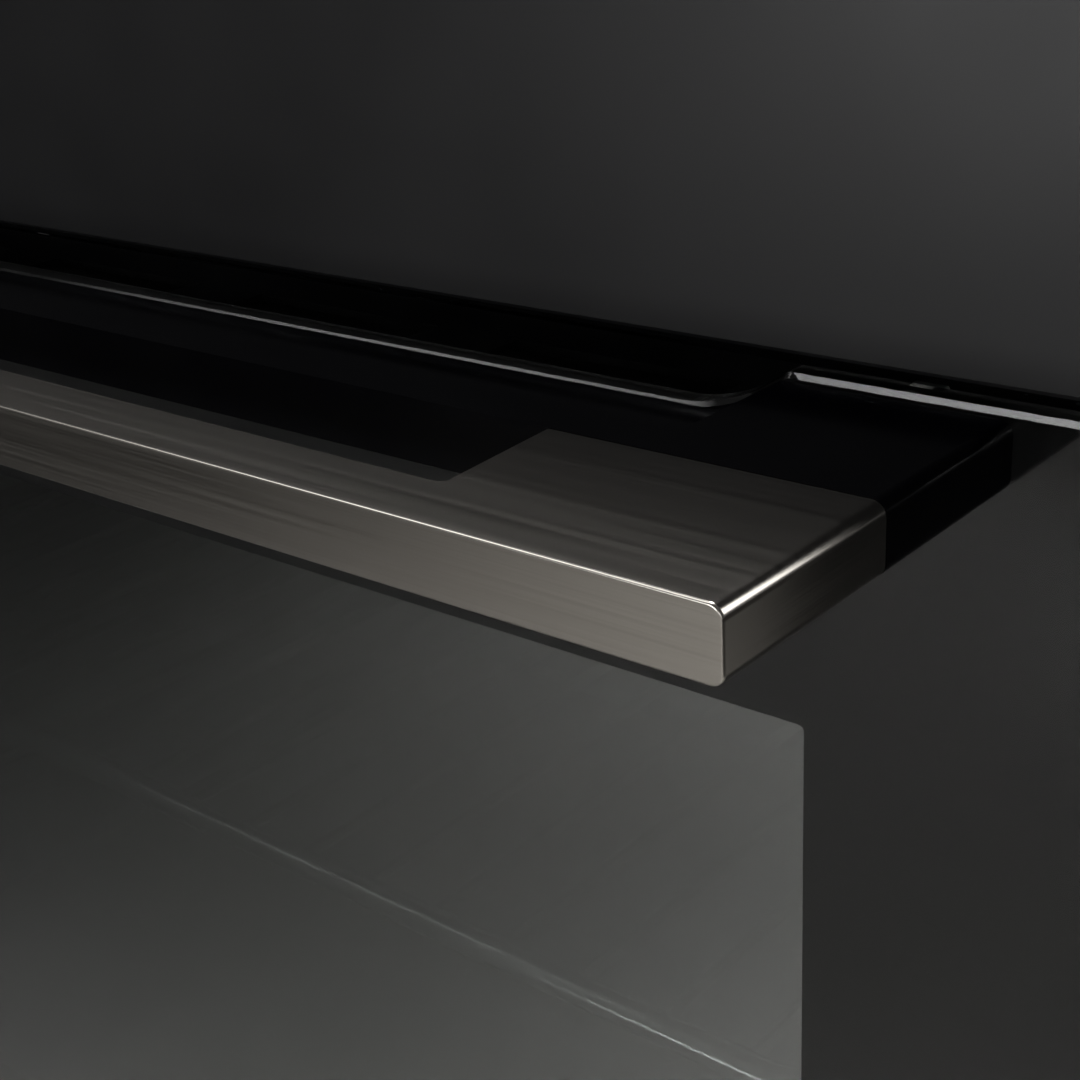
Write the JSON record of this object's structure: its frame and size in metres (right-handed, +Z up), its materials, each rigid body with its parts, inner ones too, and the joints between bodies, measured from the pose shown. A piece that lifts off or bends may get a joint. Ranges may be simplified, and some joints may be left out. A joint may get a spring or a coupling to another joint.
{
  "type": "built-in oven",
  "caption": "Built-in oven with a glass drop-down door, a flat bar handle, a plain glass fascia, side racks with a sliding shelf and a tray, and a hot-air fan.",
  "frame": {"origin": "on the underside of the base, on the middle plane, half way along the depth of housing and motor cover", "axes": "+Z up, -Y out of the front, +X to the right seen from the front"},
  "size_m": [0.594, 0.642, 0.594],
  "materials": {
    "zinc_sheet": "galvanised sheet steel, satin",
    "dark_enamel": "fired dark grey enamel, glossy",
    "black_paint": "black powder coat, satin",
    "clear_glass": "clear toughened glass",
    "panel_glass": "toughened glass with a black back print",
    "black_print": "black ceramic print, glossy",
    "handle_steel": "stainless steel brushed along its length",
    "handle_black": "glossy black moulding",
    "plated_wire": "bright plated steel wire",
    "plain_steel": "plain stainless steel",
    "element_steel": "dark oxidised element tube",
    "seal_rubber": "heat-proof seal, matte",
    "lagging": "glass-fibre lagging",
    "board": "printed circuit board",
    "black_plastic": "black moulded plastic",
    "grey_plastic": "grey moulded plastic",
    "motor_grey": "motor laminations and end covers"
  },
  "bodies": {
    "oven_body": {"base_plate": "zinc_sheet", "side_panel_left": "zinc_sheet", "side_panel_right": "zinc_sheet", "top_cover": "zinc_sheet", "rear_cover": "zinc_sheet", "motor_cover": "zinc_sheet", "front_frame": "dark_enamel", "bottom_trim": "black_paint", "housing_screws": "plain_steel", "cavity": "dark_enamel", "insulation": "lagging", "door_gasket": "seal_rubber", "fan_baffle": "dark_enamel", "fan_motor": "motor_grey", "ring_heater": "element_steel", "grill_heater": "element_steel", "base_heater": "element_steel", "oven_probe": "plain_steel", "lamp_holder": "plain_steel", "lamp_glass": "clear_glass", "lamp_bulb": "clear_glass", "rack_left": "plated_wire", "rack_right": "plated_wire", "rack_studs": "plain_steel", "runner_fixed": "plain_steel", "channel_plate": "zinc_sheet", "air_duct": "zinc_sheet", "blower_housing": "zinc_sheet", "blower_motor": "motor_grey", "power_board": "board", "control_board": "board", "display_module": "black_plastic", "panel_glass": "panel_glass", "panel_carrier": "black_plastic", "terminal_box": "grey_plastic", "cable_clamp": "black_plastic", "hinge_arms": "plain_steel", "hinge_seats": "zinc_sheet"},
    "door": {"door_glass_outer": "clear_glass", "door_border_print": "black_print", "door_glass_middle": "clear_glass", "door_glass_inner": "clear_glass", "door_side_left": "black_paint", "door_side_right": "black_paint", "door_top_rail": "black_paint", "door_bottom_rail": "black_paint", "glass_supports": "black_plastic", "hinge_cases": "zinc_sheet", "hinge_pins": "plain_steel", "handle_bar": "handle_steel", "handle_base": "handle_black", "handle_screws": "plain_steel"},
    "fan_wheel": {"fan_impeller": "zinc_sheet"},
    "blower_wheel": {"blower_impeller": "zinc_sheet"},
    "middle_rails": {"runner_middle": "plain_steel"},
    "shelf_carriage": {"runner_inner": "plain_steel", "wire_shelf": "plated_wire"},
    "tray": {"baking_tray": "dark_enamel"}
  },
  "joints": [
    {"name": "door_hinge", "type": "hinge", "parent": "oven_body", "child": "door", "pos_m": [0, -0.3, 0.03], "axis": [1, 0, 0], "range_deg": [0, 90], "stiffness_Nm_per_rad": 8, "springref_deg": -11.46},
    {"name": "runner_middle_slide", "type": "slide", "parent": "oven_body", "child": "middle_rails", "axis": [0, -1, 0], "range_m": [0, 0.18]},
    {"name": "runner_inner_slide", "type": "slide", "parent": "middle_rails", "child": "shelf_carriage", "axis": [0, -1, 0], "range_m": [0, 0.18]},
    {"name": "tray_slide", "type": "slide", "parent": "oven_body", "child": "tray", "axis": [0, -1, 0], "range_m": [0, 0.2]},
    {"name": "fan_spin", "type": "hinge", "parent": "oven_body", "child": "fan_wheel", "pos_m": [0, 0.2, 0.2675], "axis": [0, 1, 0], "continuous": true},
    {"name": "blower_spin", "type": "hinge", "parent": "oven_body", "child": "blower_wheel", "pos_m": [-0.05, 0.13, 0.5], "axis": [0, 0, 1], "continuous": true}
  ],
  "couplings": [
    {"joint": "runner_middle_slide", "follows": "door_hinge", "m_per_rad": 0.1145},
    {"joint": "runner_inner_slide", "follows": "door_hinge", "m_per_rad": 0.1145},
    {"joint": "tray_slide", "follows": "door_hinge", "m_per_rad": 0.127}
  ]
}
